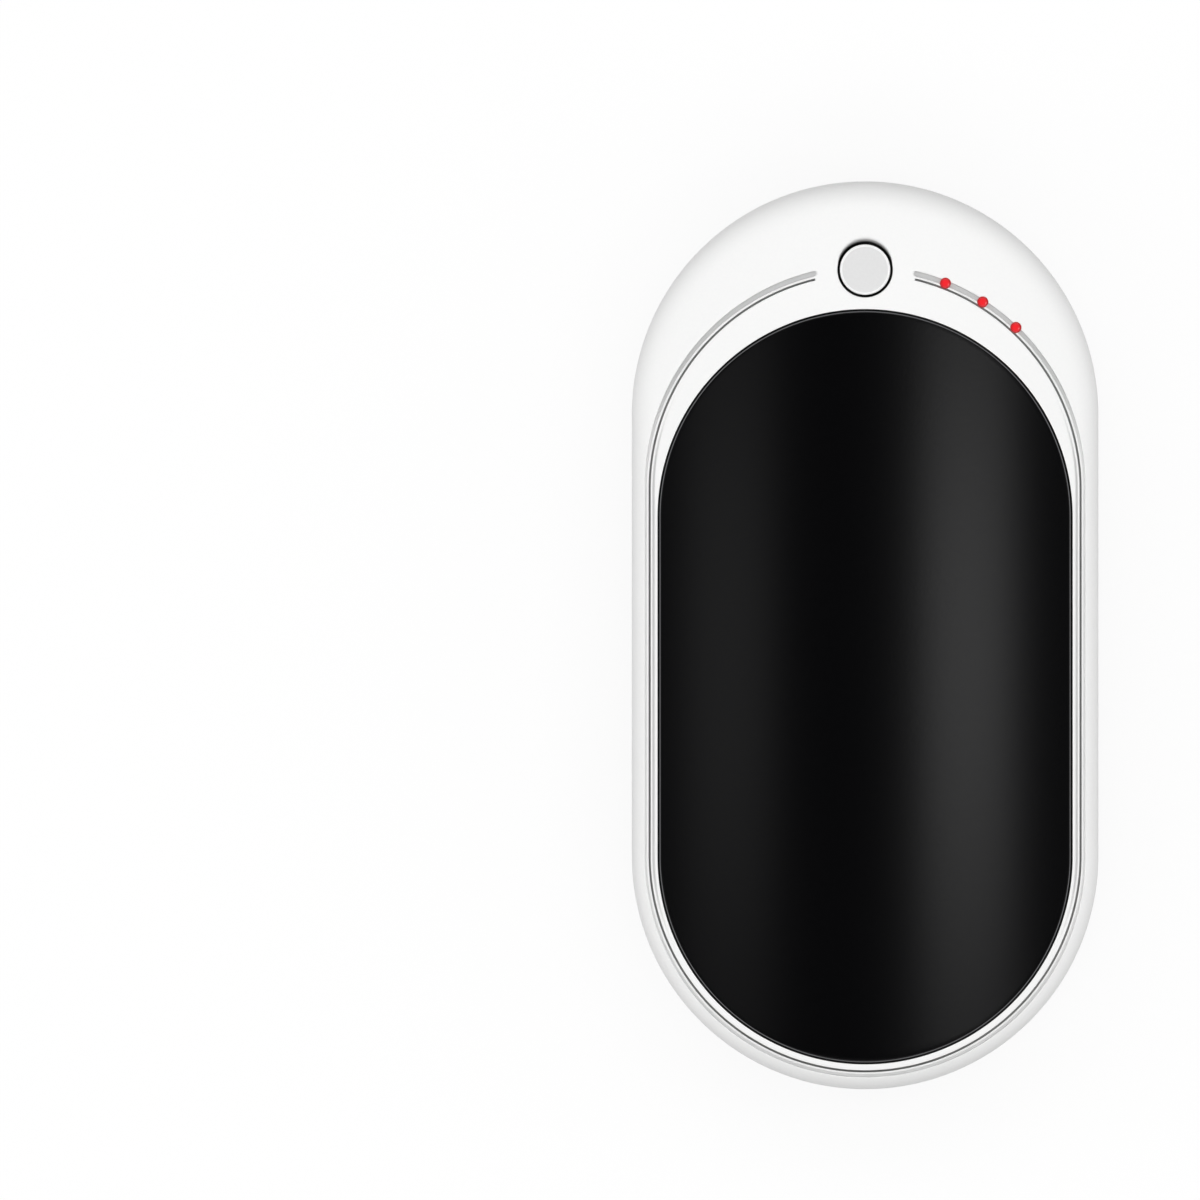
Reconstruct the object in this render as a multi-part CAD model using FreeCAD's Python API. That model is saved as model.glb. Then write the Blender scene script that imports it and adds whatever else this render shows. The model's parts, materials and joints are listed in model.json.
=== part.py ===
"""Rechargeable hand warmer: a pill-shaped casing with a black heating plate on each face.

Millimetres. The warmer lies on its back: Z is up out of the front face, Y runs along the
length towards the button end and X across. The origin is under the middle, on the rest plane.
"""
import FreeCAD, Part
import math
import os

# casing
body_width = 51.4
wall = 1.8
roof = 2.4
floor = 2.6
front_edge_radius = 3.5
rear_edge_radius = 5.0
least_inner_edge = 0.5
front_crown_radius = 75.0
rear_crown_radius = 60.0
rear_land_width = 26.0
port_rim = 1.2
lip_thickness = 0.8
lip_depth = 1.5
lip_gap = 0.1
seam_width = 0.24
seam_depth = 0.3
snap_length = 8.0
snap_height = 0.6
snap_rise = 0.25
snap_spacing = 30.0
rib_thickness = 1.4
rib_spacing = 20.0
stop_width = 2.4
stop_thickness = 1.5

# heating plates and the sheets behind them
plate_side_margin = 3.01
plate_bottom_margin = 2.91
plate_top_margin = 14.25
plate_thickness = 1.0
plate_gap = 0.15
plate_edge_radius = 0.25
ledge_width = 1.4
tape_thickness = 0.2
tape_inset = 0.1
bond_gap = 0.02
film_thickness = 0.18
film_inset = 2.2
insulation_thickness = 1.1
insulation_inset = 1.6

# groove round the front plate
groove_side_margin = 1.95
groove_top_margin = 10.15
slit_width = 0.25
slit_depth = 0.75
band_side_margin = 1.43
band_bottom_margin = 1.3
band_top_margin = 9.2
band_depth = 0.3
groove_break_width = 10.9

# cells and their strips
cell_diameter = 18.4
cell_length = 65.0
cell_spacing = 0.6
cell_gap = 0.2
cell_end_gap = 0.8
cell_cap_diameter = 8.0
cell_cap_height = 0.8
crimp_depth = 0.5
crimp_width = 1.2
crimp_offset = 3.0
strip_thickness = 0.2
strip_height = 8.0
strip_overlap = 4.0
tab_width = 4.0
tab_rise = 1.0

# board and what is soldered to it
board_length = 19.2
board_thickness = 1.2
board_end_gap = 1.0
board_cell_gap = 1.2
boss_diameter = 4.2
boss_wall_gap = 0.6
boss_angles = (40.0, -40.0, -70.0)
screw_diameter = 1.9
screw_length = 5.2
screw_head_diameter = 3.6
screw_head_height = 1.2
screw_slot_width = 0.5
screw_slot_depth = 0.6
pilot_gap = 0.03
pilot_spare = 0.5
board_hole_gap = 0.2
led_length = 1.6
led_width = 0.8
led_height = 0.8
chip_gap = 0.02

# button and its switch
button_diameter = 5.56
button_hole_diameter = 6.1
button_top_margin = 9.72
button_edge_radius = 0.25
button_dish_offset = 0.6
button_dish_inset = 0.05
button_dish_depth = 0.9
button_flange_diameter = 7.6
button_flange_height = 0.9
button_flange_gap = 0.25
button_post_diameter = 3.0
button_post_height = 1.6
button_set_back = 0.05
switch_size = 6.0
switch_base_height = 2.6
switch_floor = 0.7
switch_cavity_diameter = 4.6
switch_cover_height = 0.3
stem_diameter = 3.5
stem_flange_diameter = 4.2
stem_rise = 0.7
stem_gap = 0.1
stem_play = 0.05
dome_diameter = 4.0
dome_height = 0.5
dome_thickness = 0.1

# lamps in the groove
lamp_angle = 21.3
lamp_step = 10.85
lamp_count = 3
lamp_offset = 0.6
guide_post_diameter = 1.1
guide_post_gap = 0.05
guide_set_back = 0.1
guide_bar_width = 1.8
guide_bar_height = 1.0
guide_bar_end = 4.0
guide_lamp_gap = 0.2

# charging socket
usb_width = 8.94
usb_height = 3.16
usb_length = 7.3
usb_wall = 0.3
usb_set_back = 0.5
usb_gap = 0.15
tongue_width = 6.6
tongue_height = 0.7
tongue_length = 4.45
tongue_set_back = 0.35
contact_count = 6
contact_pitch = 1.0
contact_width = 0.4
contact_length = 3.4
contact_height = 0.08

# leads, sensors and the other board components
lead_diameter = 1.0
lead_bend_radius = 3.0
lead_height_share = 0.8
positive_lead_x = 6.0
lead_pad_inset = 3.5
heater_lead_diameter = 0.8
heater_lead_spacing = 4.4
sensor_length = 1.6
sensor_width = 0.8
sensor_height = 0.5
sensor_x = 5.5
inductor_size = 6.0
inductor_height = 2.8
inductor_corner = 1.2
inductor_place = (9.0, 7.3)
power_chip_size = (4.9, 3.9, 1.5)
power_chip_place = (-8.0, 8.0)
controller_size = (5.0, 4.4, 1.2)
controller_place = (-9.0, 6.0)
capacitor_size = (1.6, 0.8, 0.8)
capacitor_places = (-10.0, -7.0, 6.0, 12.0)
capacitor_inset = 2.0

# stack through the thickness, from the rest plane up
cell_radius = cell_diameter / 2
cell_x = cell_radius + cell_spacing / 2
cell_side = cell_x + cell_radius
stack = plate_thickness + bond_gap + film_thickness + insulation_thickness
cell_z = stack + cell_gap + cell_radius
cell_top = cell_z + cell_radius + cell_gap
crown_z = cell_top - math.sqrt((front_crown_radius - stack) ** 2 - cell_x ** 2)
body_thickness = crown_z + front_crown_radius

# plan of the casing: the length follows from what lies end to end inside it
outer_radius = body_width / 2
inner_radius = outer_radius - wall
cell_corner = math.sqrt(inner_radius ** 2 - cell_side ** 2)
contents = cell_end_gap + cell_length + strip_thickness + board_cell_gap + board_length + board_end_gap
straight = contents - inner_radius - cell_corner
low_y = -straight / 2
high_y = straight / 2
end_y = high_y + outer_radius
cell_low_y = low_y - cell_corner + cell_end_gap
cell_high_y = cell_low_y + cell_length
board_low_y = cell_high_y + strip_thickness + board_cell_gap

# plates and groove in plan
plate_radius = outer_radius - plate_side_margin
plate_low_y = plate_bottom_margin + plate_radius - end_y
plate_high_y = end_y - plate_top_margin - plate_radius
window_radius = plate_radius - ledge_width
film_radius = plate_radius - film_inset
insulation_radius = film_radius - insulation_inset
groove_radius = outer_radius - groove_side_margin
groove_high_y = end_y - groove_top_margin - groove_radius
band_radius = outer_radius - band_side_margin
band_low_y = band_bottom_margin + band_radius - end_y
band_high_y = end_y - band_top_margin - band_radius
tail_y = plate_high_y + (film_radius + insulation_radius) / 2

# levels under the button, from the roof down to the socket
button_y = end_y - button_top_margin
button_flange_top = body_thickness - roof - button_flange_gap
button_flange_low = button_flange_top - button_flange_height
stem_top = button_flange_low - button_post_height
cover_top = stem_top - stem_rise
cover_low = cover_top - switch_cover_height
board_top = cover_low - switch_base_height
board_low = board_top - board_thickness
usb_z = board_low - usb_height / 2
seam_z = board_low - usb_height - usb_gap - port_rim
lip_low = seam_z - lip_depth

# blocks that only have to reach past the casing
reach = 2 * body_thickness
span = 2 * (end_y + outer_radius)


def point(x, y, z):
    return FreeCAD.Vector(x, y, z)


def box(x_low, x_high, y_low, y_high, z_low, z_high):
    size = (x_high - x_low, y_high - y_low, z_high - z_low)
    return Part.makeBox(*size, point(x_low, y_low, z_low))


def block(x, y, z, size):
    """A block of the given size centred on x and y, standing on z."""
    length, width, height = size
    return Part.makeBox(length, width, height, point(x - length / 2, y - width / 2, z))


def upright(x, y, z_low, z_high, diameter):
    return Part.makeCylinder(diameter / 2, z_high - z_low, point(x, y, z_low))


def pill(radius, y_low, y_high, z_low=-reach, z_high=reach):
    """An upright prism whose plan is two half circles joined by straight sides."""

    def at(x, y):
        return point(x, y, z_low)

    edges = [
        Part.LineSegment(at(radius, y_low), at(radius, y_high)),
        Part.Arc(at(radius, y_high), at(0, y_high + radius), at(-radius, y_high)),
        Part.LineSegment(at(-radius, y_high), at(-radius, y_low)),
        Part.Arc(at(-radius, y_low), at(0, y_low - radius), at(radius, y_low)),
    ]
    outline = Part.Wire([edge.toShape() for edge in edges])
    return Part.Face(outline).extrude(point(0, 0, z_high - z_low))


def pill_ring(outer, inner, y_low, y_high, z_low=-reach, z_high=reach):
    return pill(outer, y_low, y_high, z_low, z_high).cut(pill(inner, y_low, y_high, z_low, z_high))


def front_level(x, offset):
    """Height of the crowned front surface, set in by an offset along its normal."""
    return crown_z + math.sqrt((front_crown_radius - offset) ** 2 - x ** 2)


def rear_level(x, offset):
    """Height of the rear surface: a flat land with a tangent arc at each side."""
    past_land = max(abs(x) - rear_land_width / 2, 0)
    return rear_crown_radius - math.sqrt((rear_crown_radius - offset) ** 2 - past_land ** 2)


def slab(front_offset, rear_offset):
    """All the space between the front and rear surfaces, each set in by its offset."""
    side = outer_radius + wall
    land = rear_land_width / 2
    arc_middle = (side + land) / 2

    def front(x):
        return point(x, -span / 2, front_level(x, front_offset))

    def rear(x):
        return point(x, -span / 2, rear_level(x, rear_offset))

    edges = [
        Part.Arc(front(side), front(0), front(-side)),
        Part.LineSegment(front(-side), rear(-side)),
        Part.Arc(rear(-side), rear(-arc_middle), rear(-land)),
        Part.LineSegment(rear(-land), rear(land)),
        Part.Arc(rear(land), rear(arc_middle), rear(side)),
        Part.LineSegment(rear(side), front(side)),
    ]
    section = Part.Wire([edge.toShape() for edge in edges])
    return Part.Face(section).extrude(point(0, span, 0))


def front_layer(outline, start, end):
    """The part of an upright outline that lies between two depths below the front surface."""
    return outline.common(slab(start, -floor)).cut(slab(end, -2 * floor))


def rear_layer(outline, start, end):
    """The part of an upright outline that lies between two depths above the rear surface."""
    return outline.common(slab(-roof, start)).cut(slab(-2 * roof, end))


def rim_edges(shape, radius, y_low, y_high, above):
    """Edges that run round a pill of this radius, on the upper or the lower side of the seam."""
    found = []
    for edge in shape.Edges:
        middle = edge.valueAt((edge.FirstParameter + edge.LastParameter) / 2)
        nearest = min(max(middle.y, y_low), y_high)
        on_outline = abs(math.hypot(middle.x, middle.y - nearest) - radius) < 1e-3
        heights = [vertex.Z for vertex in edge.Vertexes]
        is_upright = max(heights) - min(heights) > 0.9 * edge.Length
        if on_outline and not is_upright and (middle.z > seam_z) == above:
            found.append(edge)
    return found


def rounded_pebble(radius, front_offset, rear_offset, front_radius, rear_radius):
    """A pill cut by the crowned front and the rear surface, with both rims rounded."""
    blank = pill(radius, low_y, high_y).common(slab(front_offset, rear_offset))
    blank = blank.makeFillet(front_radius, rim_edges(blank, radius, low_y, high_y, True))
    return blank.makeFillet(rear_radius, rim_edges(blank, radius, low_y, high_y, False))


def stadium(width, height, y_low, y_high, z):
    """A bar along Y whose section is a flat oval centred on the height z."""
    radius = height / 2
    half = width / 2 - radius
    low = z - radius
    top = z + radius
    edges = [
        Part.LineSegment(point(-half, y_low, low), point(half, y_low, low)),
        Part.Arc(point(half, y_low, low), point(half + radius, y_low, z), point(half, y_low, top)),
        Part.LineSegment(point(half, y_low, top), point(-half, y_low, top)),
        Part.Arc(point(-half, y_low, top), point(-half - radius, y_low, z), point(-half, y_low, low)),
    ]
    section = Part.Wire([edge.toShape() for edge in edges])
    return Part.Face(section).extrude(point(0, y_high - y_low, 0))


def lamp_centres():
    """Plan positions of the lamps, on an arc just outside the groove's slit."""
    radius = groove_radius + lamp_offset
    centres = []
    for index in range(lamp_count):
        angle = math.radians(lamp_angle + index * lamp_step)
        centres.append((radius * math.sin(angle), groove_high_y + radius * math.cos(angle)))
    return centres


def boss_centres():
    """Plan positions of the board's screw bosses, on an arc inside the end wall."""
    radius = inner_radius - boss_wall_gap - boss_diameter / 2
    centres = []
    for degrees in boss_angles:
        angle = math.radians(degrees)
        centres.append((radius * math.sin(angle), high_y + radius * math.cos(angle)))
    return centres


def hollow_casing():
    outside = rounded_pebble(outer_radius, 0, 0, front_edge_radius, rear_edge_radius)
    inner_front = max(front_edge_radius - wall, least_inner_edge)
    inner_rear = max(rear_edge_radius - wall, least_inner_edge)
    inside = rounded_pebble(inner_radius, roof, floor, inner_front, inner_rear)
    return outside.cut(inside)


def groove_cutter():
    """A narrow slit with a shallow band outside it, broken on both sides of the button."""
    outer = groove_radius + slit_width / 2
    inner = groove_radius - slit_width / 2
    slit = pill_ring(outer, inner, low_y, groove_high_y)
    band = pill(band_radius, band_low_y, band_high_y).cut(pill(groove_radius, low_y, groove_high_y))
    cutter = front_layer(slit, -roof, slit_depth).fuse(front_layer(band, -roof, band_depth))
    half = groove_break_width / 2
    return cutter.cut(box(-half, half, groove_high_y, end_y, -reach, reach))


def button_hole():
    """A round hole whose mouth is drawn out towards the near end of the casing."""
    hole = upright(0, button_y, board_top, reach, button_hole_diameter)
    radius = button_hole_diameter / 2 - button_dish_inset
    dish_low = body_thickness - button_dish_depth
    rings = []
    for y, z in ((button_y, dish_low), (button_y + button_dish_offset, body_thickness)):
        ring = Part.Circle(point(0, y, z), point(0, 0, 1), radius)
        rings.append(Part.Wire([ring.toShape()]))
    return hole.fuse(Part.makeLoft(rings, True, True))


def snap_ridges(spare):
    """Low ridges on the outside of the lip, or with some spare the pockets that take them."""
    face = inner_radius + lip_thickness
    low = lip_low + lip_gap - spare
    high = lip_low + lip_gap + snap_height + spare
    half = snap_length / 2 + spare
    ridges = []
    for y in (-snap_spacing / 2, snap_spacing / 2):
        right = box(face - lip_thickness / 2, face + snap_rise + spare, y - half, y + half, low, high)
        ridges.append(right)
        ridges.append(right.mirror(point(0, 0, 0), point(1, 0, 0)))
    return ridges


def seam_cutter():
    low = seam_z - seam_width / 2
    bottom = outer_radius - seam_depth
    return pill_ring(outer_radius + wall, bottom, low_y, high_y, low, low + seam_width)


def front_shell(casing):
    shell = casing.common(box(-span, span, -span, span, seam_z, reach))
    lip = pill_ring(inner_radius + lip_thickness, inner_radius, low_y, high_y, lip_low, seam_z)
    shell = shell.fuse(lip).fuse(snap_ridges(0))
    for x, y in boss_centres():
        boss = upright(x, y, board_top, reach, boss_diameter).common(slab(roof / 2, 0))
        shell = shell.fuse(boss)
    plate_pocket = pill(plate_radius + plate_gap, plate_low_y, plate_high_y)
    shell = shell.cut(front_layer(plate_pocket, -roof, ledge_offset()))
    shell = shell.cut(pill(window_radius, plate_low_y, plate_high_y))
    shell = shell.cut(groove_cutter())
    shell = shell.cut(button_hole())
    for x, y in lamp_centres():
        shell = shell.cut(upright(x, y, board_top, reach, guide_post_diameter + 2 * guide_post_gap))
    for x, y in boss_centres():
        pilot_top = board_top + screw_length - board_thickness + pilot_spare
        shell = shell.cut(upright(x, y, board_low, pilot_top, screw_diameter + 2 * pilot_gap))
    port = stadium(usb_width + 2 * usb_gap, usb_height + 2 * usb_gap, high_y, span, usb_z)
    shell = shell.cut(port)
    return shell.cut(seam_cutter()).removeSplitter()


def ledge_offset():
    return plate_thickness + tape_thickness


def rear_shell(casing):
    shell = casing.common(box(-span, span, -span, span, -reach, seam_z))
    inside = slab(roof, floor)
    rib_low_x = cell_side + cell_gap
    rib_high_x = inner_radius + wall / 2
    rib_top = lip_low - lip_thickness
    rib_middle = (cell_low_y + cell_high_y) / 2
    for step in (-1, 0, 1):
        y = rib_middle + step * rib_spacing
        rib = box(rib_low_x, rib_high_x, y - rib_thickness / 2, y + rib_thickness / 2, -reach, rib_top)
        rib = rib.common(inside)
        shell = shell.fuse(rib).fuse(rib.mirror(point(0, 0, 0), point(1, 0, 0)))
    stop_y = cell_high_y + cell_gap
    stop_high_x = cell_side - cell_gap
    stop = box(stop_high_x - stop_width, stop_high_x, stop_y, stop_y + stop_thickness, -reach, rib_top)
    stop = stop.common(inside)
    shell = shell.fuse(stop).fuse(stop.mirror(point(0, 0, 0), point(1, 0, 0)))
    rebate = pill(inner_radius + lip_thickness + lip_gap, low_y, high_y, lip_low - lip_gap, reach)
    shell = shell.cut(rebate)
    for pocket in snap_ridges(lip_gap):
        shell = shell.cut(pocket)
    plate_pocket = pill(plate_radius + plate_gap, plate_low_y, plate_high_y)
    shell = shell.cut(rear_layer(plate_pocket, -floor, ledge_offset()))
    rear_window = pill(window_radius, plate_low_y, plate_high_y).common(slab(roof, -floor))
    shell = shell.cut(rear_window.cut(slab(roof, floor)))
    return shell.cut(seam_cutter()).removeSplitter()


def front_plate():
    plate = front_layer(pill(plate_radius, plate_low_y, plate_high_y), 0, plate_thickness)
    rims = rim_edges(plate, plate_radius, plate_low_y, plate_high_y, True)
    outer = [edge for edge in rims if abs(axis_distance(edge) - front_crown_radius) < bond_gap]
    return plate.makeFillet(plate_edge_radius, outer)


def axis_distance(edge):
    """Distance of an edge's middle from the axis of the front crown."""
    middle = edge.valueAt((edge.FirstParameter + edge.LastParameter) / 2)
    return math.hypot(middle.x, middle.z - crown_z)


def rear_plate():
    """A plate in the rear surface that turns up with the rounded rim of the casing."""
    plate = rear_layer(pill(plate_radius, plate_low_y, plate_high_y), 0, plate_thickness)
    rims = rim_edges(plate, plate_radius, plate_low_y, plate_high_y, False)
    outer = [edge for edge in rims if rear_depth(edge) < bond_gap]
    plate = plate.makeFillet(plate_edge_radius, outer)
    return plate.common(rounded_pebble(outer_radius, 0, 0, front_edge_radius, rear_edge_radius))


def rear_depth(edge):
    """Height of an edge's middle above the rear surface."""
    middle = edge.valueAt((edge.FirstParameter + edge.LastParameter) / 2)
    return abs(middle.z - rear_level(middle.x, 0))


def tape_outline():
    return pill_ring(plate_radius - tape_inset, window_radius + tape_inset, plate_low_y, plate_high_y)


def cell(x):
    """A cylindrical cell along Y with a crimp near its raised positive end."""
    shoulder = cell_length - cell_cap_height
    crimp_top = shoulder - crimp_offset
    crimp_low = crimp_top - crimp_width
    cap = cell_cap_diameter / 2
    neck = cell_radius - crimp_depth
    corners = [
        (0, 0), (cell_radius, 0), (cell_radius, crimp_low), (neck, crimp_low), (neck, crimp_top),
        (cell_radius, crimp_top), (cell_radius, shoulder), (cap, shoulder), (cap, cell_length),
        (0, cell_length), (0, 0),
    ]
    outline = Part.makePolygon([point(x + across, cell_low_y + along, cell_z) for across, along in corners])
    return Part.Face(outline).revolve(point(x, 0, cell_z), point(0, 1, 0), 360)


def strip(y_low, tab_x):
    """A flat strip across both cell ends, with a tab up to its lead."""
    half = cell_x + strip_overlap
    y_high = y_low + strip_thickness
    middle = cell_z - strip_height / 2
    bar = box(-half, half, y_low, y_high, middle, middle + strip_height)
    tab_top = lead_z() + lead_diameter / 2 + tab_rise
    tab = box(tab_x - tab_width / 2, tab_x + tab_width / 2, y_low, y_high, cell_z, tab_top)
    return bar.fuse(tab).removeSplitter()


def lead_z():
    return cell_z + lead_height_share * cell_radius


def lead(x, y_start):
    """A round lead along Y that bends down onto a pad of the board."""
    z = lead_z()
    y_end = board_low_y + lead_pad_inset
    radius = min(lead_bend_radius, z - board_top - lead_diameter / 2)
    turn = radius * (1 - math.sqrt(0.5))
    run = Part.LineSegment(point(x, y_start, z), point(x, y_end - radius, z))
    bend = Part.Arc(
        point(x, y_end - radius, z),
        point(x, y_end - turn, z - turn),
        point(x, y_end, z - radius),
    )
    drop = Part.LineSegment(point(x, y_end, z - radius), point(x, y_end, board_top))
    path = Part.Wire([edge.toShape() for edge in (run, bend, drop)])
    circle = Part.Circle(point(x, y_start, z), point(0, 1, 0), lead_diameter / 2)
    section = Part.Wire([circle.toShape()])
    return path.makePipeShell([section], True, False)


def heater_leads(z_low, z_high):
    half = heater_lead_spacing / 2
    return [upright(x, tail_y, z_low, z_high, heater_lead_diameter) for x in (-half, half)]


def thermistors():
    size = (sensor_length, sensor_width, sensor_height)
    edge_x = sensor_x + sensor_length / 2
    y = plate_high_y + math.sqrt((tail_y - plate_high_y) ** 2 - sensor_x ** 2)
    film = plate_thickness + bond_gap + film_thickness
    front_z = front_level(edge_x, film) - chip_gap - sensor_height
    rear_z = rear_level(edge_x, film) + chip_gap
    return [block(sensor_x, y, front_z, size), block(sensor_x, y, rear_z, size)]


def circuit_board():
    outline = upright(0, high_y, board_low, board_top, 2 * (inner_radius - board_end_gap))
    board = outline.common(box(-span, span, board_low_y, span, board_low, board_top))
    for x, y in boss_centres():
        board = board.cut(upright(x, y, board_low, board_top, screw_diameter + 2 * board_hole_gap))
    return board


def board_screws():
    screws = []
    for x, y in boss_centres():
        head_low = board_low - screw_head_height
        shank = upright(x, y, head_low, board_low + screw_length, screw_diameter)
        head = upright(x, y, head_low, board_low, screw_head_diameter)
        slot_length = screw_head_diameter - screw_head_height
        slot_top = head_low + screw_slot_depth
        along = block(x, y, head_low, (slot_length, screw_slot_width, slot_top - head_low))
        across = block(x, y, head_low, (screw_slot_width, slot_length, slot_top - head_low))
        screws.append(shank.fuse(head).removeSplitter().cut(along).cut(across))
    return screws


def switch_base():
    base = block(0, button_y, board_top, (switch_size, switch_size, switch_base_height))
    return base.cut(upright(0, button_y, board_top + switch_floor, reach, switch_cavity_diameter))


def switch_cover():
    cover = block(0, button_y, cover_low, (switch_size, switch_size, switch_cover_height))
    return cover.cut(upright(0, button_y, board_top, reach, stem_diameter + 2 * stem_gap))


def switch_stem():
    low = board_top + switch_floor + dome_height + stem_play
    flange = upright(0, button_y, low, cover_low - stem_play, stem_flange_diameter)
    return flange.fuse(upright(0, button_y, low, stem_top, stem_diameter)).removeSplitter()


def switch_dome():
    """A shallow sprung cap that stands on the floor of the switch."""
    base_z = board_top + switch_floor
    half = dome_diameter / 2
    radius = (half ** 2 + dome_height ** 2) / (2 * dome_height)
    centre = point(0, button_y, base_z + dome_height - radius)
    shell = Part.makeSphere(radius, centre).cut(Part.makeSphere(radius - dome_thickness, centre))
    return shell.common(upright(0, button_y, base_z, base_z + 2 * dome_height, dome_diameter))


def button_cap():
    top = body_thickness - button_set_back
    head = upright(0, button_y, button_flange_low, top, button_diameter)
    rim = [edge for edge in head.Edges if abs(edge.BoundBox.ZMin - top) < bond_gap]
    head = head.makeFillet(button_edge_radius, rim)
    flange = upright(0, button_y, button_flange_low, button_flange_top, button_flange_diameter)
    post = upright(0, button_y, stem_top, button_flange_top, button_post_diameter)
    return head.fuse(flange).fuse(post).removeSplitter()


def status_leds():
    size = (led_length, led_width, led_height)
    return [block(x, y, board_top, size) for x, y in lamp_centres()]


def light_guide():
    """Three clear posts on a bar that follows the underside of the roof."""
    radius = groove_radius + lamp_offset
    centre = point(0, groove_high_y, 0)
    first = 90 - lamp_angle - (lamp_count - 1) * lamp_step - guide_bar_end
    sweep = (lamp_count - 1) * lamp_step + 2 * guide_bar_end
    half = guide_bar_width / 2
    sector = Part.makeCylinder(radius + half, reach, centre, point(0, 0, 1), sweep)
    sector = sector.cut(Part.makeCylinder(radius - half, reach, centre))
    sector.rotate(centre, point(0, 0, 1), first)
    bar_top = roof + guide_post_gap
    guide = front_layer(sector, bar_top, bar_top + guide_bar_height)
    post_low = board_top + led_height + guide_lamp_gap
    for x, y in lamp_centres():
        post = upright(x, y, post_low, reach, guide_post_diameter)
        guide = guide.fuse(post.common(slab(guide_set_back, 0)))
    return guide.removeSplitter()


def usb_front_y():
    return end_y - usb_set_back


def usb_shell():
    front_y = usb_front_y()
    outside = stadium(usb_width, usb_height, front_y - usb_length, front_y, usb_z)
    inner_width = usb_width - 2 * usb_wall
    inner_height = usb_height - 2 * usb_wall
    return outside.cut(stadium(inner_width, inner_height, front_y - span, front_y + span, usb_z))


def usb_tongue():
    """An insulating block at the back of the socket with a thin tongue towards its mouth."""
    spare = usb_wall + bond_gap
    tip_y = usb_front_y() - tongue_set_back
    root_y = tip_y - tongue_length
    back_y = usb_front_y() - usb_length
    base = stadium(usb_width - 2 * spare, usb_height - 2 * spare, back_y, root_y, usb_z)
    half = tongue_height / 2
    tongue = box(-tongue_width / 2, tongue_width / 2, back_y, tip_y, usb_z - half, usb_z + half)
    return base.fuse(tongue).removeSplitter()


def usb_contacts():
    root_y = usb_front_y() - tongue_set_back - tongue_length
    y = root_y + contact_length / 2
    top_z = usb_z + tongue_height / 2
    low_z = usb_z - tongue_height / 2 - contact_height
    size = (contact_width, contact_length, contact_height)
    contacts = []
    for index in range(contact_count):
        x = (index - (contact_count - 1) / 2) * contact_pitch
        contacts.append(block(x, y, top_z, size))
        contacts.append(block(x, y, low_z, size))
    return contacts


def boost_inductor():
    x, inset = inductor_place
    size = (inductor_size, inductor_size, inductor_height)
    body = block(x, board_low_y + inset, board_low - inductor_height, size)
    corners = [edge for edge in body.Edges if edge.BoundBox.ZLength > inductor_height / 2]
    return body.makeChamfer(inductor_corner, corners)


def power_chip():
    x, inset = power_chip_place
    return block(x, board_low_y + inset, board_low - power_chip_size[2], power_chip_size)


def controller_chip():
    x, inset = controller_place
    return block(x, board_low_y + inset, board_top, controller_size)


def capacitors():
    y = board_low_y + capacitor_inset
    z = board_low - capacitor_size[2]
    return [block(x, y, z, capacitor_size) for x in capacitor_places]


def build_parts():
    casing = hollow_casing()
    film_start = plate_thickness + bond_gap
    film_end = film_start + film_thickness
    foam_start = film_end + bond_gap
    foam_end = film_end + insulation_thickness
    tape_start = plate_thickness + bond_gap
    tape_end = ledge_offset() - bond_gap
    film = pill(film_radius, plate_low_y, plate_high_y)
    foam = pill(insulation_radius, plate_low_y, plate_high_y)
    film_front_z = front_level((heater_lead_spacing + heater_lead_diameter) / 2, film_end) - chip_gap
    film_rear_z = rear_level(heater_lead_spacing / 2, film_end) + chip_gap
    return {
        "front_shell": front_shell(casing),
        "rear_shell": rear_shell(casing),
        "front_plate": front_plate(),
        "rear_plate": rear_plate(),
        "front_tape": front_layer(tape_outline(), tape_start, tape_end),
        "rear_tape": rear_layer(tape_outline(), tape_start, tape_end),
        "front_heater": front_layer(film, film_start, film_end),
        "rear_heater": rear_layer(film, film_start, film_end),
        "front_insulation": front_layer(foam, foam_start, foam_end),
        "rear_insulation": rear_layer(foam, foam_start, foam_end),
        "left_cell": cell(-cell_x),
        "right_cell": cell(cell_x),
        "positive_strip": strip(cell_high_y, positive_lead_x),
        "negative_strip": strip(cell_low_y - strip_thickness, 0),
        "positive_lead": lead(positive_lead_x, cell_high_y + strip_thickness),
        "negative_lead": lead(0, cell_low_y),
        "front_heater_leads": heater_leads(board_top, film_front_z),
        "rear_heater_leads": heater_leads(film_rear_z, board_low),
        "thermistors": thermistors(),
        "circuit_board": circuit_board(),
        "board_screws": board_screws(),
        "switch_base": switch_base(),
        "switch_dome": switch_dome(),
        "switch_stem": switch_stem(),
        "switch_cover": switch_cover(),
        "button_cap": button_cap(),
        "status_leds": status_leds(),
        "light_guide": light_guide(),
        "usb_shell": usb_shell(),
        "usb_tongue": usb_tongue(),
        "usb_contacts": usb_contacts(),
        "boost_inductor": boost_inductor(),
        "power_chip": power_chip(),
        "controller_chip": controller_chip(),
        "capacitors": capacitors(),
    }


os.makedirs("parts", exist_ok=True)
for name, piece in build_parts().items():
    shape = Part.makeCompound(piece) if isinstance(piece, list) else piece
    shape.exportStep(f"parts/{name}.step")
print(f"casing {body_width:.2f} x {2 * end_y:.2f} x {body_thickness:.2f} mm, seam at {seam_z:.2f} mm")
print(f"button at y {button_y:.2f}, board top at {board_top:.2f}, socket centre at {usb_z:.2f} mm")
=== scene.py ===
# %% [markdown]
# # A rechargeable hand warmer
#
# The real warmer is a white pebble with the outline of a pill. Two moulded shells meet at a seam
# round its waist, a black heating plate is let into each face, and a round button and three small
# red lamps sit at one end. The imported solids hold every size, so they are loaded first and stay
# where they are. The pieces that show are then replaced by finer surfaces, worked out in
# millimetres and written to the meshes in metres.

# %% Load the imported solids
import json

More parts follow.
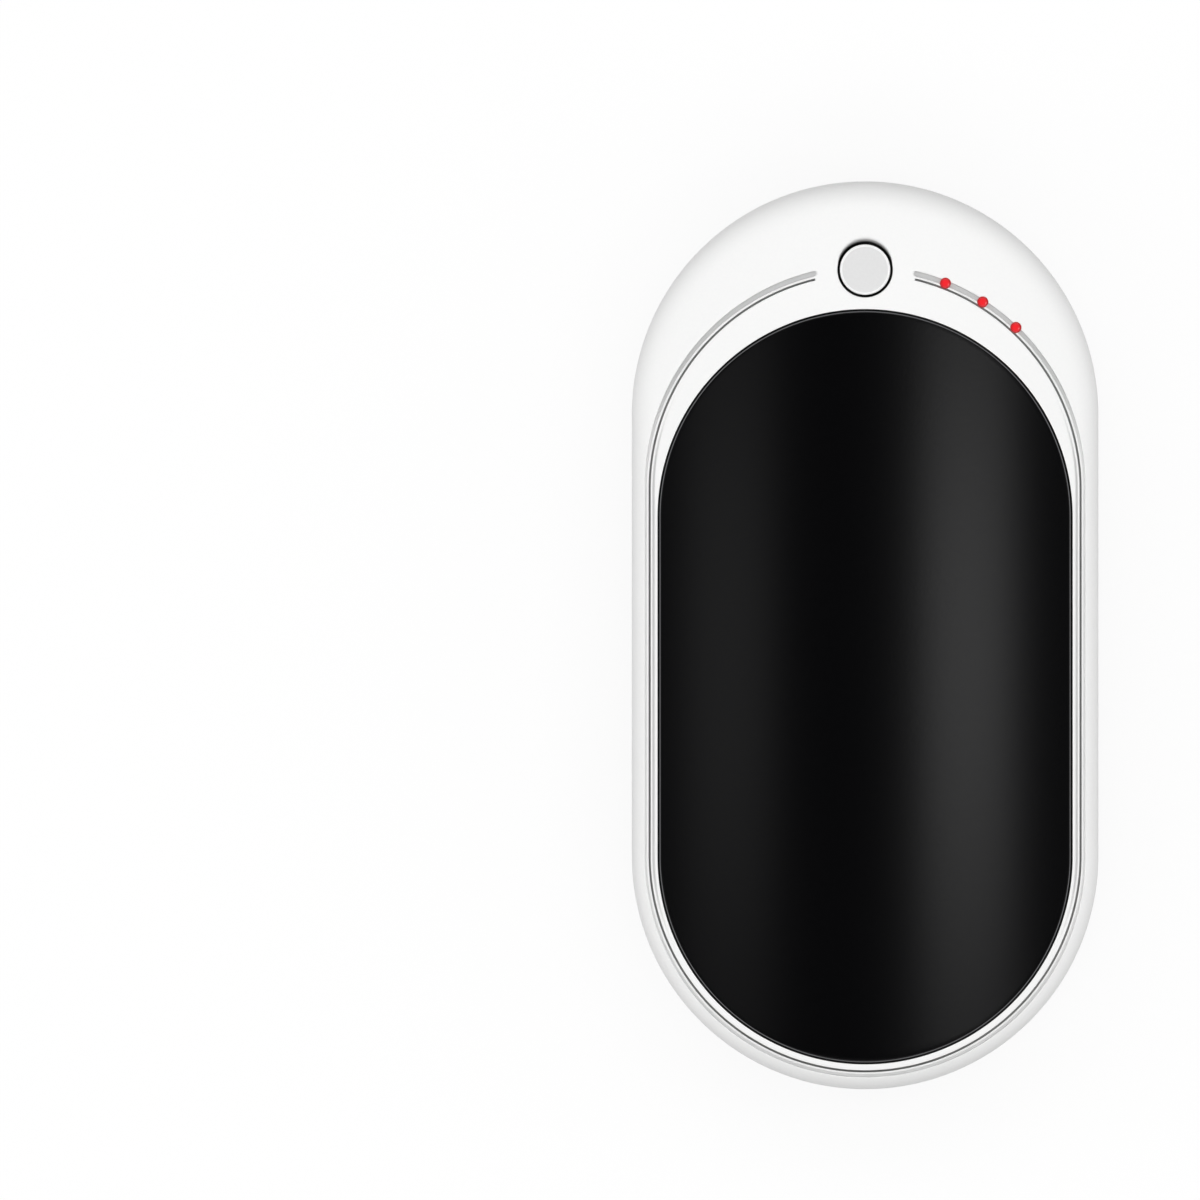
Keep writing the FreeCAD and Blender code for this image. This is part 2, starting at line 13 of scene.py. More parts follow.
import bmesh
import bpy
import numpy as np
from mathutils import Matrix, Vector


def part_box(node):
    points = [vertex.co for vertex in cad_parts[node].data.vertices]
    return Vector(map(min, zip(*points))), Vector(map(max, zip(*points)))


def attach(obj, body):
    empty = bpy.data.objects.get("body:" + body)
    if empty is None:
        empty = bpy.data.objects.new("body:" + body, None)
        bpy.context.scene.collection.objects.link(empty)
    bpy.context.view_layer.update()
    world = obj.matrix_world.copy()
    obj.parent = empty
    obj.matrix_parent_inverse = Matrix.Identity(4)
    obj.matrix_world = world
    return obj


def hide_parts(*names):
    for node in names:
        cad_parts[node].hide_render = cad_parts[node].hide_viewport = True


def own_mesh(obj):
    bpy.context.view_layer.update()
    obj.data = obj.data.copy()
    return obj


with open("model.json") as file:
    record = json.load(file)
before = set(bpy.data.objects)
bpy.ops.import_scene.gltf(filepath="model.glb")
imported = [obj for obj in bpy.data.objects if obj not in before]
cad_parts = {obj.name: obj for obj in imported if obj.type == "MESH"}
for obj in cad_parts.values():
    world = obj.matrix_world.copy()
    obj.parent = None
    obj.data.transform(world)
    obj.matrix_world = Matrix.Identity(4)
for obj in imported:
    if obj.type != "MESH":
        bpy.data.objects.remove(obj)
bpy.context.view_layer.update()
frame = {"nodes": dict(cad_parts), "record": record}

# %% [markdown]
# ## Rays that cross every outline
#
# The plate, the groove and the outside wall are all pills, but they share only their lower end:
# they lie close together at the bottom and spread out towards the button. They could be lofted one
# by one. Here each mesh column is a straight ray that leaves the plate's middle line instead, and an
# outline is where the rays meet it. A ray never turns, so the columns stay square to the edges and
# one set of columns serves both shells and both plates.

# %% Rays and pill outlines
outer_radius = 25.7
straight = 24.308
plate_low = -24.408
plate_top = 13.068

# Round the top the rays stand closest near both ends of the groove, where its depth fades.
groove_end = np.radians(78.2)
near_end = np.radians(3.5)
far_end = np.pi - groove_end
turns = [0, groove_end - near_end, groove_end + near_end, far_end - near_end, far_end + near_end, np.pi]
turn_rays = [84, 40, 22, 40, 84]
side_rays = 36
low_rays = 160
top_angles = np.concatenate([
    np.linspace(start, end, count, endpoint=False)
    for start, end, count in zip(turns, turns[1:], turn_rays)
])
right_rise = np.linspace(plate_low, plate_top, side_rays, endpoint=False)
left_fall = np.linspace(plate_top, plate_low, side_rays, endpoint=False)
low_angles = np.linspace(np.pi, 2 * np.pi, low_rays, endpoint=False)
angle = np.concatenate([0 * right_rise, top_angles, np.pi + 0 * left_fall, low_angles])
start_y = np.concatenate([
    right_rise, plate_top + 0 * top_angles, left_fall, plate_low + 0 * low_angles,
])
upper = np.repeat([False, True, False], [side_rays, len(top_angles), side_rays + low_rays])
lower = np.repeat([False, True], [2 * side_rays + len(top_angles), low_rays])


def outline(radius, low_y, top_y):
    """Length of each ray up to a pill with this radius and the centres of its ends at low_y and top_y.

    Beside the straight it is R / cos a. On an end arc, whose centre lies e above the start of
    the ray, it is e sin a + sqrt(R^2 - e^2 cos^2 a). Level rays meet the pill squarely: R.
    """
    lift = np.where(upper, top_y - plate_top, np.where(lower, low_y - plate_low, 0))
    side = radius / np.maximum(np.abs(np.cos(angle)), 1e-6)
    arc = lift * np.sin(angle) + np.sqrt(radius ** 2 - (lift * np.cos(angle)) ** 2)
    return np.where(upper & (side * np.sin(angle) < lift), side, arc)


def plan(length):
    """x and y of the points at these lengths along the rays: start + length * direction."""
    return length * np.cos(angle), start_y + length * np.sin(angle)


longest = outline(outer_radius, -straight, straight).max()
print("rays", len(angle), "longest to the wall", round(float(longest), 2), "mm")

# %% [markdown]
# ## The two faces and their rolled edges
#
# The front is a slice of a cylinder 75 mm in radius that runs the length of the warmer, so it is
# curved across and straight along. The rear is a flat land with a curve of 60 mm at each side. A
# mould rolls such a face into its wall with a constant radius. That could be left to a Bevel
# modifier, but here the height is written down: inside the line where a ball of that radius touches
# the face it is the face, and outside it is the ball that rolls round inside the wall.

# %% Heights of the front and the rear
thickness = 24.023
front_crown = 75.0
front_edge = 3.5
rear_crown = 60.0
rear_land = 13.0
rear_edge = 5.0


def rolling_ball(x, y, edge):
    """The ball under each point: x of its centre, plan direction to the wall, and the point's reach.

    The centre keeps (wall radius - edge) from the casing's middle line. The reach is how far the
    point lies outside the centre, along the direction to the wall.
    """
    away_y = y - np.clip(y, -straight, straight)
    away = np.maximum(np.hypot(x, away_y), 1e-6)
    inner = outer_radius - edge
    return inner * x / away, x / away, away_y / away, away - inner


def rolled(face, centre, slope, toward_x, toward_y, reach, edge, up):
    """The face as far as the ball's contact line, then the ball's surface, centre + up * sqrt(...).

    The ball's centre climbs at slope * toward_y along its path, which lifts the upper side of the
    swept ball by sqrt(1 + climb^2).
    """
    climb = slope * toward_y
    lean = slope * toward_x
    contact = edge * lean / np.sqrt(1 + climb ** 2 + lean ** 2)
    ball = centre + up * np.sqrt(np.maximum(edge ** 2 - reach ** 2, 0) * (1 + climb ** 2))
    return np.where(reach > contact, ball, face)


def crown(x, depth):
    """Front face set in by a depth along its normal: axis height + sqrt((R - depth)^2 - x^2)."""
    return thickness - front_crown + np.sqrt((front_crown - depth) ** 2 - x ** 2)


def sole(x, depth):
    """Rear face set in by a depth: R - sqrt((R - depth)^2 - p^2), with p the distance past the land."""
    past = np.maximum(np.abs(x) - rear_land, 0)
    return rear_crown - np.sqrt((rear_crown - depth) ** 2 - past ** 2)


def front_skin(x, y):
    """Height of the front with its rolled edge."""
    centre_x, toward_x, toward_y, reach = rolling_ball(x, y, front_edge)
    centre = crown(centre_x, front_edge)
    slope = centre_x / (centre - thickness + front_crown)
    return rolled(crown(x, 0), centre, slope, toward_x, toward_y, reach, front_edge, 1)


def rear_skin(x, y):
    """Height of the rear with its rolled edge."""
    centre_x, toward_x, toward_y, reach = rolling_ball(x, y, rear_edge)
    centre = sole(centre_x, rear_edge)
    past = np.sign(centre_x) * np.maximum(np.abs(centre_x) - rear_land, 0)
    slope = past / (rear_crown - centre)
    return rolled(sole(x, 0), centre, slope, toward_x, toward_y, reach, rear_edge, -1)


wall_x, wall_y = plan(outline(outer_radius, -straight, straight))
for end, skin in (("top", front_skin), ("foot", rear_skin)):
    heights = skin(wall_x, wall_y)
    print("wall", end, "from", heights.min().round(2), "to", heights.max().round(2), "mm")

# %% [markdown]
# ## From a grid of points to a piece
#
# Every new piece is a grid: rows follow a section and columns go round. A tube-like section closes
# on itself, and a turned piece ends in a small cap. Both become quads by shifting the grid's own
# numbering by one row and one column, so no vertex is visited by hand. The sign of the enclosed
# volume says whether the faces point outwards.

# %% Grids to meshes
MM = 0.001


def grid_faces(rows, columns, closed):
    """Quads of a grid: each point with its neighbour round the row, and the same two in the next row."""
    number = np.arange(rows * columns).reshape(rows, columns)
    beside = np.roll(number, -1, axis=1)
    quads = np.stack([number, beside, np.roll(beside, -1, axis=0), np.roll(number, -1, axis=0)], axis=-1)
    quads = quads if closed else quads[:-1]
    return quads.reshape(-1, 4)


def enclosed(points, faces):
    """Volume inside a closed mesh: a sixth of the triple products of its triangles' corners."""
    first, second, third, fourth = (points[faces[:, corner]] for corner in range(4))
    one = np.einsum("ij,ij->i", first, np.cross(second, third)).sum()
    two = np.einsum("ij,ij->i", first, np.cross(third, fourth)).sum()
    return (one + two) / 6


def soften(mesh):
    """Shades a mesh smoothly, except where it turns by more than 40 degrees."""
    mesh.shade_smooth()
    mesh.set_sharp_from_angle(angle=np.radians(40))


def make_piece(name, grids, section):
    """One mesh from grids of points in mm, whose section is a "loop", "capped" or left "open".

    A loop joins its last row to its first, and a cap is one flat face on an end row.
    """
    points, polygons, offset = [], [], 0
    for grid in grids:
        rows, columns = grid.shape[:2]
        flat = grid.reshape(-1, 3)
        quads = grid_faces(rows, columns, section == "loop")
        ring = np.arange(columns)[None]
        caps = [ring[:, ::-1], ring + (rows - 1) * columns] if section == "capped" else []
        inside_out = enclosed(flat - flat.mean(axis=0), quads) < 0
        for part in (quads, *caps):
            polygons.extend((offset + (part[:, ::-1] if inside_out else part)).tolist())
        points.append(flat)
        offset += len(flat)
    mesh = bpy.data.meshes.new(name)
    mesh.from_pydata((np.concatenate(points) * MM).tolist(), [], polygons)
    mesh.update()
    soften(mesh)
    made = bpy.data.objects.new(name, mesh)
    bpy.context.scene.collection.objects.link(made)
    return made


def rows_between(start, end, shares):
    """Ray lengths part of the way from one outline to another, one row for each share."""
    return start + (end - start) * np.asarray(shares)[:, None]


def at_height(lengths, heights):
    """Points in rows: ray lengths in plan, with a height for each row or each point."""
    lengths = np.atleast_2d(lengths)
    x, y = plan(lengths)
    return np.stack([x, y, np.broadcast_to(heights, x.shape)], axis=-1)


def on_skin(skin, lengths, depths):
    """Points in rows that lie a depth below a skin, measured straight down or up into the casing."""
    lengths = np.atleast_2d(lengths)
    x, y = plan(lengths)
    return np.stack([x, y, skin(x, y) - depths], axis=-1)


def points_of(piece):
    """x, y and z of a piece's points in mm."""
    flat = np.empty(3 * len(piece.data.vertices))
    piece.data.vertices.foreach_get("co", flat)
    return flat.reshape(-1, 3).T / MM


def mark(piece, name, values):
    """Writes one value per point to a piece, for its material to read."""
    layer = piece.data.attributes.new(name, "FLOAT", "POINT")
    layer.data.foreach_set("value", np.asarray(values, dtype=np.float32))
    print(piece.name, name, int((values > 0.5).sum()), "of", len(values), "points")


print("a closed grid of 4 x 5 points has", len(grid_faces(4, 5, True)), "quads")

# %% [markdown]
# ## The front shell
#
# The front shell is one white moulding. From the plate outwards its section climbs out of the
# plate's pocket over a rounded lip, crosses a bezel, drops into a dark slit, runs through a shallow
# grey channel, and then rolls over the edge to the seam. The slit and the channel stop on both sides
# of the button. It could be cut from a block with Booleans, but the soft lips would be lost, so the
# whole section is laid along the rays. Near the button the groove's depth fades to nothing.

# %% Section of the groove
window_radius = 21.29
pocket_radius = 22.84
groove_radius = 23.75
groove_top = 16.108
band_radius = 24.27
band_low = -24.438
band_top = 16.538
pocket = outline(pocket_radius, plate_low, plate_top)
window = outline(window_radius, plate_low, plate_top)
groove = outline(groove_radius, -straight, groove_top)
band = outline(band_radius, band_low, band_top)
wall = outline(outer_radius, -straight, straight)
seam_z = 9.563
lip_radius = 0.12
break_half = 5.45
channel_half = 0.4
fade = 0.16
valley_start, valley_end = -0.66, -0.21
valley_depth = 0.15


def smooth(value):
    """A soft step from 0 to 1: 3 t^2 - 2 t^3 with t held between 0 and 1."""
    held = np.clip(value, 0, 1)
    return held * held * (3 - 2 * held)


def groove_share(lengths, across, half):
    """How open the groove is: 0 up to half the break beside the button, 1 further on, with a round end.

    A row that lies at a share of the half width from the middle of the channel ends later by
    half width * (1 - sqrt(1 - share^2)).
    """
    x, _ = plan(lengths)
    late = channel_half * (1 - np.sqrt(1 - np.clip(across, -1, 1) ** 2))
    return np.where(upper, smooth((np.abs(x) - half - late) / fade + 0.5), 1)


quarter = np.radians(np.linspace(0, 90, 6))[:, None]
lip_lengths = pocket + lip_radius * (1 - np.cos(quarter))
lip_rows = on_skin(front_skin, lip_lengths, lip_radius * (1 - np.sin(quarter)))

bezel_shares = np.array([0.03, 0.1, 0.25, 0.4, 0.55, 0.7, 0.85, 0.95])
bezel_lengths = rows_between(pocket + lip_radius, groove + valley_start, bezel_shares)
bezel_rows = on_skin(front_skin, bezel_lengths, 0)
# The high power keeps the valley to the long sides.
sideways = np.abs(plan(groove)[0]) / groove_radius
valley_steps = np.linspace(valley_start, valley_end, 11)[:, None]
valley_depths = valley_depth * sideways ** 16 * np.sin(np.pi * np.linspace(0, 1, 11))[:, None] ** 2
valley_rows = on_skin(front_skin, groove + valley_steps, valley_depths)

slit_steps = np.array([-0.155, -0.138, -0.128, -0.116, 0.09, 0.105])[:, None]
slit_depths = np.array([0.004, 0.02, 0.06, 0.75, 0.75, 0.14])[:, None]
slit_open = groove_share(groove, 0, break_half + 0.1)
slit_rows = on_skin(front_skin, groove + slit_steps, slit_depths * slit_open)

rib_lengths = groove + np.array([0.138, 0.18, 0.23, 0.28])[:, None]
floor_shares = np.array([0, 0.06, 0.12, 0.25, 0.5, 0.75, 0.87, 0.94, 0.98, 1.0])
channel_lengths = np.concatenate([rib_lengths, rows_between(groove + 0.32, band, floor_shares)])
channel_depths = np.array([
    0.1, 0.08, 0.08, 0.09, 0.12, 0.25, 0.3, 0.31, 0.31, 0.31, 0.3, 0.24, 0.12, 0.05,
])
channel_across = np.concatenate([-1 + 0 * rib_lengths[:, :1], 2 * floor_shares[:, None] - 1])
channel_open = groove_share(channel_lengths, channel_across, break_half - 0.1)
channel_rows = on_skin(front_skin, channel_lengths, channel_depths[:, None] * channel_open)
print("bezel", (groove - pocket).min().round(2), "to", (groove - pocket).max().round(2), "mm wide,",
      "channel", (band - groove).min().round(2), "to", (band - groove).max().round(2), "mm wide")

# %% [markdown]
# The outside goes on from the channel to the rolled edge. Rows are spaced evenly on the face, and by
# equal turns of the ball on the edge, where the surface bends fastest. Below the seam a thin lip
# goes down into the other shell, and the inside follows the roof back to the plate's window.

# %% Front shell
edge_start = band + 0.07
_, _, _, band_reach = rolling_ball(*plan(edge_start), front_edge)
wall_centre_x, wall_toward_x, _, _ = rolling_ball(*plan(wall), front_edge)
contact_reach = front_edge * wall_centre_x * wall_toward_x / (front_crown - front_edge)
# The roll starts where the ball touches the face, but at least a quarter of the way to the wall.
roll_start = np.maximum(contact_reach, band_reach + 0.25 * (front_edge - band_reach))
roll_from = np.arcsin(roll_start / front_edge)
roll = roll_from + (np.pi / 2 - roll_from) * np.linspace(0, 1, 14)[:, None]
roll_lengths = np.stack([
    outline(outer_radius - front_edge * (1 - np.sin(turn)), -straight, straight) for turn in roll
])

face_shares = np.concatenate([[0, 0.02], np.linspace(0.06, 1, 15)[:-1]])
face_rows = on_skin(front_skin, rows_between(edge_start, roll_lengths[0], face_shares), 0)
roll_rows = on_skin(front_skin, roll_lengths, 0)

seam_half = 0.12
seam_round = 0.14
seam_depth = 0.3
wall_top = roll_rows[-1, :, 2]
flank_heights = rows_between(wall_top, seam_z + seam_half + seam_round, [0.1, 0.3, 0.55, 0.8, 0.96, 1])
flank_rows = at_height(np.broadcast_to(wall, flank_heights.shape), flank_heights)
seam_lengths = wall - seam_round * (1 - np.cos(quarter[1:]))
seam_rows = at_height(seam_lengths, seam_z + seam_half + seam_round * (1 - np.sin(quarter[1:])))

inner_radius = 23.9
tongue_radius = 24.7
tongue_depth = 1.5
roof_depth = 2.4
ledge_depth = 1.2
inner_wall = outline(inner_radius, -straight, straight)
tongue_wall = outline(tongue_radius, -straight, straight)
seam_floor = wall - seam_depth
hidden_lengths = np.stack([seam_floor, seam_floor, tongue_wall, tongue_wall, inner_wall, inner_wall])
hidden_heights = np.array([seam_half, 0, 0, -tongue_depth, -tongue_depth, 1.0])[:, None] + seam_z
hidden_rows = at_height(hidden_lengths, hidden_heights)
roof_lengths = rows_between(inner_wall, window, np.linspace(0, 1, 9))
roof_rows = at_height(roof_lengths, crown(plan(roof_lengths)[0], roof_depth))
ledge = np.stack([window, pocket])
ledge_rows = at_height(ledge, crown(plan(ledge)[0], ledge_depth))

front_grid = np.concatenate([
    ledge_rows, lip_rows, bezel_rows, valley_rows, slit_rows, channel_rows, face_rows, roll_rows,
    flank_rows, seam_rows, hidden_rows, roof_rows,
])
front_shell = make_piece("front_shell_skin", [front_grid], "loop")
print("front shell", front_grid.shape[0], "rows,", len(front_shell.data.polygons), "faces")

# %% [markdown]
# ## Mouths in the front shell
#
# The button sits in a round hole with a shallow dish, the lamps in three small holes, and the
# charging socket in a flat oval port in the end wall. These cross the rays at odd places, so here a
# Boolean is the right tool. The cutters are grids too: an outline that grows towards the surface, so
# that each mouth gets a rounded lip that follows the curve it is cut into.

# %% Button, lamp and port cutters
button_y = 40.288
lamp_first = 21.3
lamp_step = 10.85
lamp_angles = np.radians(90 - lamp_first - lamp_step * np.arange(3))
lamp_circle = 24.35
lamp_x = lamp_circle * np.cos(lamp_angles)
lamp_y = groove_top + lamp_circle * np.sin(lamp_angles)
port_z = 12.493
port_width, port_height = 9.24, 3.46


def round_mouth(x, y, radii, depths, drawn=0.0):
    """A turned cutter whose rows lie a depth below the crown: centre + radius * (cos t, sin t).

    Where the mouth is drawn out by s towards +Y, its radius is the larger of the plain one and that
    of a circle 0.05 mm smaller and shifted by s: s sin t + sqrt(r^2 - s^2 cos^2 t).
    """
    turn = np.linspace(0, 2 * np.pi, 160, endpoint=False)
    radius = np.asarray(radii)[:, None]
    shift = np.broadcast_to(drawn, len(radii))[:, None]
    shifted = shift * np.sin(turn) + np.sqrt((radius - 0.05) ** 2 - (shift * np.cos(turn)) ** 2)
    widest = np.maximum(radius, shifted)
    across = x + widest * np.cos(turn)
    along = y + widest * np.sin(turn)
    return np.stack([across, along, crown(across, 0) - np.asarray(depths)[:, None]], axis=-1)


def oval(width, height, grow):
    """x and z of a flat oval about its centre, grown by an amount, one row for each amount.

    Its end arcs have the radius height / 2 + grow, and the straights join their centres.
    """
    turn = np.linspace(-np.pi / 2, np.pi / 2, 25)
    arc_x = np.concatenate([np.cos(turn), -np.cos(turn)])
    arc_z = np.concatenate([np.sin(turn), -np.sin(turn)])
    centre = np.repeat([1, -1], 25) * (width - height) / 2
    radius = height / 2 + np.asarray(grow)[:, None]
    return centre + radius * arc_x, radius * arc_z


button_radii = [3.4, 3.3, 3.2, 3.13, 3.09, 3.06, 3.05, 3.05, 3.05, 3.05, 3.05]
button_depths = [-1.5, -0.03, 0.0, 0.02, 0.05, 0.1, 0.2, 0.4, 0.65, 0.9, 4.0]
button_drawn = [0.66, 0.66, 0.64, 0.6, 0.56, 0.5, 0.42, 0.3, 0.15, 0, 0]
button_mouth = round_mouth(0, button_y, button_radii, button_depths, button_drawn)
lamp_mouth_radii = [0.66, 0.62, 0.6, 0.6]
lamp_mouth_depths = [-0.6, 0.2, 0.36, 4.0]
lamp_mouths = [
    round_mouth(x, y, lamp_mouth_radii, lamp_mouth_depths) for x, y in zip(lamp_x, lamp_y)
]

port_grow = np.array([0.6, 0.32, 0.24, 0.14, 0.06, 0.015, 0, 0])
port_inset = np.array([-1.5, -0.06, 0, 0.02, 0.08, 0.16, 0.26, 3.4])
port_x, port_up = oval(port_width, port_height, port_grow)
port_y = straight + np.sqrt(outer_radius ** 2 - port_x ** 2) - port_inset[:, None]
port_mouth = np.stack([port_x, port_y, port_z + port_up], axis=-1)

cutter = make_piece("mouth_cutters", [button_mouth, *lamp_mouths, port_mouth], "capped")
carving = front_shell.modifiers.new("mouths", "BOOLEAN")
carving.operation = "DIFFERENCE"
carving.solver = "EXACT"
carving.object = cutter
depsgraph = bpy.context.evaluated_depsgraph_get()
carved = bpy.data.meshes.new_from_object(front_shell.evaluated_get(depsgraph))
front_shell.modifiers.clear()
front_shell.data = carved
bpy.data.objects.remove(cutter)
soften(carved)
print("carved front shell", len(carved.polygons), "faces")

# %% [markdown]
# The channel carries a light grey coat that is partly painted shade. It is full at the button's end,
# thinner at the other end and thinnest along the sides. The valley beside the plate carries painted
# shade of the same grey. The slit, the gap round the plate, the hole and dish of the button and the
# seam are darkened with painted shade. Both are attributes on the mesh, worked out from where each
# point lies, in millimetres.

# %% Grey coat and painted shade in the channel, painted shade in the gaps
def pill_distance(x, y, low_y, top_y):
    """Distance in plan from the middle line of a pill, which runs from low_y to top_y."""
    return np.hypot(x, y - np.clip(y, low_y, top_y))


def seam_shade(x, y, z):
    """1 inside the seam and 0 on the wall: a soft step of how far a point near it lies in the wall."""
    from_wall = outer_radius - pill_distance(x, y, -straight, straight)
    return smooth((from_wall - 0.03) / 0.08) * (np.abs(z - seam_z) < 0.3)


shell_x, shell_y, shell_z = points_of(front_shell)
below = front_skin(shell_x, shell_y) - shell_z
past_slit = pill_distance(shell_x, shell_y, -straight, groove_top) - groove_radius
inside_band = band_radius - pill_distance(shell_x, shell_y, band_low, band_top)
past_pocket = pill_distance(shell_x, shell_y, plate_low, plate_top) - pocket_radius
from_button = np.hypot(shell_x, shell_y - button_y)
rise = (shell_y - np.clip(shell_y, -straight, groove_top)) / groove_radius
beside_button = (np.abs(shell_x) < 5.2) & (shell_y > 30)

# The channel's grey coat is partly painted shade, and the valley's grey is painted shade.
in_channel = (past_slit > 0.13) & (inside_band > -0.01) & (below > 0.04) & (below < 0.6) & ~beside_button
coat_and_shade_strength = 0.2 + 0.8 * smooth(rise / 0.6) + 0.42 * smooth(-rise / 0.8)
grey_coat_and_painted_shade = np.where(in_channel, coat_and_shade_strength * (0.15 + 0.85 * smooth((below - 0.1) / 0.12)), 0)
in_valley = (past_pocket > 0.1) & (past_slit < -0.2) & (below < 0.3)
valley_painted_shade = np.where(in_valley, 0.95 * smooth((below - 0.01) / 0.12), 0)
mark(front_shell, "grey_coat_and_painted_shade", np.maximum(grey_coat_and_painted_shade, valley_painted_shade))

# Painted shade darkens the slit, the gap round the plate, the button's hole, the dish above it and the
# seam.
in_slit = (past_slit > -0.135) & (past_slit < 0.1) & (below > 0.1) & ~beside_button
in_pocket = (past_pocket < 0.03) & (below > 0.03)
in_hole = (from_button < 3.07) & (below > 0.15)
in_dish = (from_button < 3.7) & (below > 0.03)
dish_shade = np.where(in_dish, 0.7 * smooth((below + 0.05) / 0.75), 0)
gap_shade = np.where(in_hole | in_pocket, 1, np.where(in_slit, 0.56, dish_shade))
mark(front_shell, "gap_shade", np.maximum(gap_shade, seam_shade(shell_x, shell_y, shell_z)))

# %% [markdown]
# ## The rear shell
#
# The rear shell closes the casing. Its flat land is what the warmer rests on, and the second plate
# lies flush in it. The same rays carry its section, from the seam down the wall, round a fuller
# edge, over the land to the plate's pocket, and back along the floor inside.

# %% Rear shell
unrolled = quarter[::-1]
rear_seam_lengths = np.concatenate([
    [seam_floor, seam_floor], wall - seam_round * (1 - np.cos(unrolled)),
])
rear_seam_drops = np.concatenate([
    [0, seam_half], seam_half + seam_round * (1 - np.sin(unrolled[:, 0])),
])
rear_seam_rows = at_height(rear_seam_lengths, seam_z - rear_seam_drops[:, None])

rear_centre_x, rear_toward_x, _, _ = rolling_ball(*plan(wall), rear_edge)
rear_past = np.maximum(np.abs(rear_centre_x) - rear_land, 0)
rear_contact = rear_edge * rear_past * np.abs(rear_toward_x) / (rear_crown - rear_edge)
pocket_edge = pocket + lip_radius
_, _, _, pocket_reach = rolling_ball(*plan(pocket_edge), rear_edge)
# Here too the roll starts at the ball's contact, but at least a fifth of the way to the wall.
rear_start = np.maximum(rear_contact, pocket_reach + 0.2 * (rear_edge - pocket_reach))
rear_from = np.arcsin(rear_start / rear_edge)
rear_roll = np.pi / 2 + (rear_from - np.pi / 2) * np.linspace(0, 1, 16)[:, None]
rear_roll_lengths = np.stack([
    outline(outer_radius - rear_edge * (1 - np.sin(turn)), -straight, straight) for turn in rear_roll
])
rear_roll_rows = on_skin(rear_skin, rear_roll_lengths, 0)
rear_flank_top = seam_z - seam_half - seam_round
rear_flank_heights = rows_between(rear_flank_top, rear_roll_rows[0, :, 2], [0.1, 0.5, 0.9])
rear_flank_rows = at_height(np.broadcast_to(wall, rear_flank_heights.shape), rear_flank_heights)
land_shares = np.concatenate([np.linspace(0, 0.94, 13)[1:], [0.97, 1]])
land_rows = on_skin(rear_skin, rows_between(rear_roll_lengths[-1], pocket_edge, land_shares), 0)

floor_depth = 2.6
rebate_radius = 24.8
rebate_low = seam_z - tongue_depth - 0.1
rear_lip_lengths = pocket + lip_radius * (1 - np.cos(unrolled[1:]))
rear_lip_rows = on_skin(rear_skin, rear_lip_lengths, -lip_radius * (1 - np.sin(unrolled[1:])))
rear_ledge = np.stack([pocket, window])
rear_ledge_rows = at_height(rear_ledge, sole(plan(rear_ledge)[0], ledge_depth))
floor_lengths = rows_between(window, inner_wall, np.linspace(0, 1, 9))
floor_rows = at_height(floor_lengths, sole(plan(floor_lengths)[0], floor_depth))
rebate_wall = outline(rebate_radius, -straight, straight)
rebate_heights = np.array([rebate_low, rebate_low, seam_z])[:, None]
rebate_rows = at_height(np.stack([inner_wall, rebate_wall, rebate_wall]), rebate_heights)

rear_grid = np.concatenate([
    rear_seam_rows, rear_flank_rows, rear_roll_rows, land_rows, rear_lip_rows, rear_ledge_rows,
    floor_rows, rebate_rows,
])
rear_shell = make_piece("rear_shell_skin", [rear_grid], "loop")
rear_x, rear_y, rear_z = points_of(rear_shell)
# Painted shade darkens the gap round the rear plate and the seam.
in_rear_pocket = pill_distance(rear_x, rear_y, plate_low, plate_top) < pocket_radius + 0.03
in_rear_gap = in_rear_pocket & (rear_z - rear_skin(rear_x, rear_y) > 0.03)
mark(rear_shell, "gap_shade", np.maximum(in_rear_gap, seam_shade(rear_x, rear_y, rear_z)))
print("rear shell", rear_grid.shape[0], "rows,", len(rear_shell.data.polygons), "faces")

# %% [markdown]
# ## The heating plates
#
# Each plate is a sheet of aluminium 1 mm thick, pressed to the curve of its face, with an edge that
# was broken before it was anodised. It could be a flat pill bent by a modifier. Laid along the same
# rays it needs none: rows go from the middle line to the rim, over the rounded edge and back
# underneath, and the points that meet on the middle line are merged.

# %% Front and rear plate
plate_radius = 22.69
plate_edge = 0.25
plate_sheet = 1.0
plate_break = 0.05
plate_rim = outline(plate_radius, plate_low, plate_top)
plate_shares = np.concatenate([np.linspace(0, 0.96, 37), [0.985, 1]])
plate_flat = rows_between(0 * plate_rim, plate_rim - plate_edge, plate_shares)
edge_turn = np.radians(np.linspace(0, 90, 13))[1:, None]
plate_round = plate_rim - plate_edge * (1 - np.sin(edge_turn))
under_shares = np.concatenate([[0, 0.02], np.linspace(0.1, 1, 10)])
plate_under = rows_between(plate_rim - plate_break, 0 * plate_rim, under_shares)


def plate_grid(skin, level, sign):
    """Rows of a plate from the casing's skin to a back one sheet inside it, with its edge rounded."""
    drop = plate_edge * (1 - np.cos(edge_turn))
    face = on_skin(skin, plate_flat, 0)
    edge = on_skin(skin, plate_round, sign * drop)
    side = at_height(plate_rim, level(plan(plate_rim)[0], plate_sheet - plate_break))
    back = at_height(plate_under, level(plan(plate_under)[0], plate_sheet))
    return np.concatenate([face, edge, side, back])


def weld(piece):
    """Merges the points that meet on the middle line, and lets the faces point outwards again."""
    shape = bmesh.new()
    shape.from_mesh(piece.data)
    bmesh.ops.remove_doubles(shape, verts=shape.verts, dist=1e-7)
    bmesh.ops.recalc_face_normals(shape, faces=shape.faces)
    shape.to_mesh(piece.data)
    shape.free()
    soften(piece.data)


